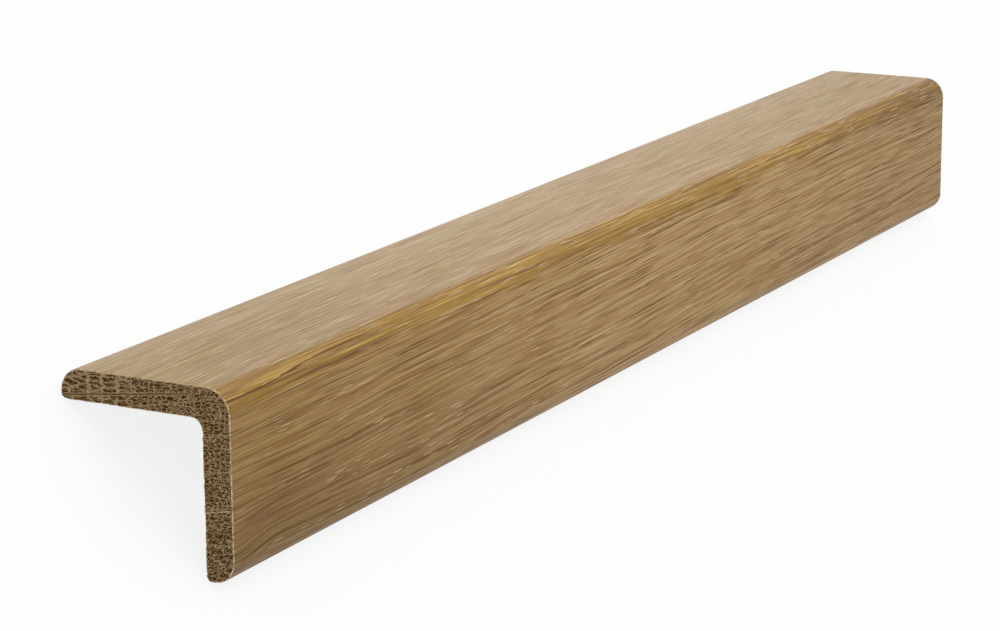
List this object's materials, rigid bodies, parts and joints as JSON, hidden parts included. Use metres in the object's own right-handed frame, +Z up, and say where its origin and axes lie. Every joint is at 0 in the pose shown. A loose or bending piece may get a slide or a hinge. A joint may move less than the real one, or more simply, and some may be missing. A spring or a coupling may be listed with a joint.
{
  "type": "corner guard moulding",
  "caption": "Straight wooden moulding with an L section, rounded outer corner and rounded toes, that caps and protects the outside corner of a wall.",
  "frame": {"origin": "centre of the bounding box at its base, on the surface that the two toes rest on", "axes": "+X along the length, +Y across to the toe of one leg, +Z up, from the floor to the rounded outer corner"},
  "size_m": [0.295, 0.0394, 0.0226],
  "materials": {
    "oak": "smooth planed oak, matt, with open pores"
  },
  "bodies": {
    "root": {"corner_guard": "oak"}
  },
  "joints": []
}
